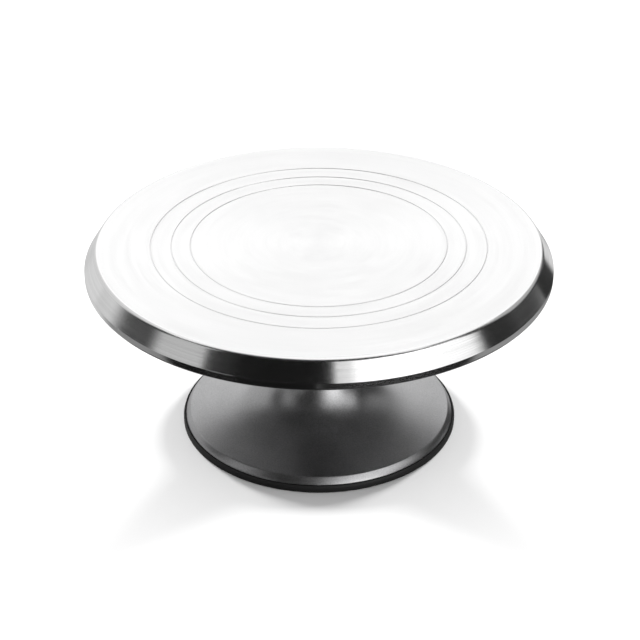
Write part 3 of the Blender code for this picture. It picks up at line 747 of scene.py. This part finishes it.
def foot_ring():
    """Rubber channel that grips the pedestal's rim and stands on the table."""
    outer, top = high("foot_ring").x, high("foot_ring").z
    wall, floor, inner = PEDESTAL_RADIUS + GAP, 0.0020, 0.0832
    corners = [(wall, top, 0.0002), (wall + 0.0008, top, 0.0004), (outer, top - 0.0018, 0.0012),
               (outer, 0.0010, 0.0008), (outer - 0.0011, 0, 0.0004), (inner + 0.0003, 0, 0.0002),
               (inner, 0.0004, 0.0002), (inner, floor, 0.0004), (wall, floor, 0)]
    turned("foot_ring", filleted(corners, closed=True), rubber, LARGE_STEPS, closed=True)


def neck_seal():
    """Rubber dust seal with a raised lip at both edges."""
    bottom, top, outer = low("neck_seal").z, high("neck_seal").z, high("neck_seal").x
    inner = 0.0133
    corners = [(inner, top, 0.0002), (inner + 0.0006, top, 0.0002), (inner + 0.0018, top - 0.0010, 0.0004),
               (outer - 0.0016, top - 0.0010, 0.0004), (outer - 0.0008, top, 0.0002), (outer, top, 0.0002),
               (outer, bottom, 0.0003), (inner, bottom, 0.0003)]
    turned("neck_seal", filleted(corners, closed=True), rubber, MEDIUM_STEPS, closed=True)


def bore_cap():
    """Plastic plug with a flange and a shallow dish in its face."""
    bottom, plug_top, flange = low("bore_cap").z, high("bore_cap").z, high("bore_cap").x
    flange_top = bottom + 0.0022
    corners = [(0, bottom + 0.0018, 0), (0.0188, bottom + 0.0018, 0.0006), (0.0192, plug_top, 0.0004),
               (0.0210, plug_top, 0.0006), (0.0210, flange_top, 0), (flange, flange_top, 0.0004),
               (flange, bottom, 0.0008), (0.0160, bottom, 0.0004), (0.0155, bottom + 0.0005, 0.0004),
               (0, bottom + 0.0005, 0)]
    turned("bore_cap", filleted(corners), plastic, MEDIUM_STEPS)


# ---------------------------------------------------------------- studio
WALLS = 0.9                     # brightness that the metal reflects where no card stands
DOME = 0.9                      # even light on everything else
LAMP = 5.0
LAMP_SPREAD = 14                # degrees
LAMP_ELEVATION = 15
LAMP_AZIMUTHS = (140, -140)     # behind the turntable on both sides
CARD_SOFTNESS = 2.0             # half width of a card's upper and lower edges, in degrees
FLOOR_SIZE = 8.0
# azimuth from and to, elevation from and to, brightness, softness of the upright edges (degrees)
CARDS = (
    (-200, 200, -90, -6, 0.24, 2),          # ground
    (-212, -128, -90, -14, 0.62, 16),       # ground behind on the left
    (84, 150, -90, -14, 0.28, 3),           # ground on the right
    (-160, -103, -14, 50, 0.70, 8),         # left wall
    (146, 202, -20, 50, 0.72, 8),           # right wall
    (152, 185, -90, -23, 0.08, 5),          # dark patch below it
    (82, 146, -24, 45, 0.025, 4),           # right flag
    (106, 152, 17, 45, 0.42, 6),            # card over the right flag
    (136, 152, -4, 17, 0.10, 6),            # faint card under it
    (155, 208, 8, 78, 1.15, 8),             # back wall
    (-108, -80, -14, 50, 0.035, 14),        # narrow left flag
    (-80, -56.5, -14, 50, 0.52, 5),         # left box
    (-56.5, 8.5, -30, 80, 0.006, 2.5),      # front flag
    (8.5, 78.5, -12, 50, 1.25, 3),          # front box
    (8.5, 17, -12, 50, 0.80, 5),            # its dimmer near side
    (28, 68, 36, 50, 2.0, 16),              # its bright top
    (18, 50, -12, 24, 2.2, 12),             # and its bright foot
    (-124, -90, -14, 6, 0.60, 5),           # low cards and flags that the neck reflects, left to right
    (-92, -74, -14, 9, 0.45, 5),
    (-74, -54, -14, 9, 0.05, 5),
    (-52, -38, -14, 12, 0.80, 5),
    (-38, 2, -14, 12, 0.06, 6),
    (56, 84, -14, 15, 0.05, 5),
    (103, 127, -24, -3, 0.65, 2),
    (-98, 84, 48, 88, 0.02, 6),             # flag over the boxes
    (-80, 0, -90, -16, 0.006, 5),           # dark ground in front, left and right
    (0, 80, -90, -16, 0.016, 5),
    (93, 128, 45, 64, 0.04, 6),             # flag over the right flag
    (-200, 200, -90, -44, 0.04, 2),         # under the table
    (-80, 0, -90, -40, 0.010, 4),           # its darker front left
)


def facing(nodes):
    """Azimuth in degrees from the camera's side (-Y), and elevation in degrees, of a world direction."""
    x, y, z = nodes.separated(nodes.add("ShaderNodeTexCoord", out=WORLD_DIRECTION))
    azimuth = nodes.math("DEGREES", nodes.math("ARCTAN2", x, nodes.math("MULTIPLY", y, -1.0)))
    elevation = nodes.math("DEGREES", nodes.math("ARCSINE", z))
    return azimuth, elevation


def card(nodes, under, azimuth, elevation, left, right, bottom, top, level, soft):
    """A card in the studio: a patch of the world between two azimuths and two elevations."""
    middle, half = (left + right) / 2, (right - left) / 2
    shifted = nodes.math("ADD", azimuth, 540.0 - middle)
    away = nodes.math("ABSOLUTE", nodes.math("SUBTRACT", nodes.math("MODULO", shifted, 360.0), 180.0))
    across = nodes.mapped(away, half - soft / 2, half + soft / 2, 1, 0, smooth=True)
    above = nodes.mapped(elevation, bottom - CARD_SOFTNESS, bottom + CARD_SOFTNESS, 0, 1, smooth=True)
    below = nodes.mapped(elevation, top - CARD_SOFTNESS, top + CARD_SOFTNESS, 1, 0, smooth=True)
    mask = nodes.math("MULTIPLY", across, nodes.math("MULTIPLY", above, below))
    return nodes.blend(mask, under, grey(level))


def studio():
    """A pale room: metal reflects its cards, and the rest gets an even dome and two low lamps behind."""
    world = bpy.data.worlds.new("studio")
    bpy.context.scene.world = world
    world.use_nodes = True
    world.cycles.sampling_method = "NONE"
    nodes = Nodes(world.node_tree)
    background = world.node_tree.nodes["Background"]
    azimuth, elevation = facing(nodes)
    colour = grey(WALLS)
    for left, right, bottom, top, level, soft in CARDS:
        colour = card(nodes, colour, azimuth, elevation, left, right, bottom, top, level, soft)
    path = nodes.tree.nodes.new("ShaderNodeLightPath")
    lit = nodes.blend(path.outputs["Is Glossy Ray"], grey(DOME), colour)
    seen = nodes.blend(path.outputs["Is Camera Ray"], lit, grey(1.0))
    nodes.tree.links.new(seen, background.inputs["Color"])
    lamps()
    pale_floor()


def lamps():
    """Low soft lamps that throw the shadows forward; the metal doesn't reflect them."""
    for azimuth in LAMP_AZIMUTHS:
        light = bpy.data.lights.new("lamp", "SUN")
        light.energy = LAMP
        light.angle = math.radians(LAMP_SPREAD)
        lamp = bpy.data.objects.new("lamp", light)
        bpy.context.scene.collection.objects.link(lamp)
        lamp.rotation_euler = (math.radians(90 - LAMP_ELEVATION), 0, math.radians(azimuth))
        lamp.visible_glossy = False


def pale_floor():
    """A plain sheet that takes the shadows and that the metal doesn't reflect."""
    shape = bmesh.new()
    bmesh.ops.create_grid(shape, x_segments=2, y_segments=2, size=FLOOR_SIZE)
    floor = bpy.data.objects.new("floor", to_mesh("floor", shape))
    bpy.context.scene.collection.objects.link(floor)
    floor.visible_glossy = False
    made, nodes, shader = new_material("pale_floor", (0.86, 0.86, 0.86), 0.6, 0.0)
    point = nodes.add("ShaderNodeTexCoord", out=OBJECT_POINT)
    noise = nodes.add("ShaderNodeTexNoise", in_Vector=point, in_Scale=3.0, in_Detail=2.0)
    tint = nodes.blend(noise, grey(0.85), grey(0.87))
    nodes.tree.links.new(tint, shader.inputs["Base Color"])
    shader.inputs["Specular IOR Level"].default_value = 0.0
    floor.data.materials.append(made)


def camera():
    """Looks down at the turntable from the front with a long lens."""
    pitch, distance, aim_height, aside = math.radians(30.541), 1.2559, 0.07524, 0.00063
    data = bpy.data.cameras.new("camera")
    data.lens = 106.17
    data.sensor_width = 36.0
    data.clip_end = 100.0
    made = bpy.data.objects.new("camera", data)
    bpy.context.scene.collection.objects.link(made)
    made.location = (aside, -distance * math.cos(pitch), aim_height + distance * math.sin(pitch))
    made.rotation_euler = (math.pi / 2 - pitch, 0, 0)
    bpy.context.scene.camera = made


camera()
studio()
turntable_plate()
spindle()
flange_screws()
lock_nut()
plain_rings()
bearing("upper")
bearing("lower")
wave_washer()
pedestal()
foot_ring()
neck_seal()
bore_cap()
bpy.context.scene.view_settings.view_transform = "Standard"
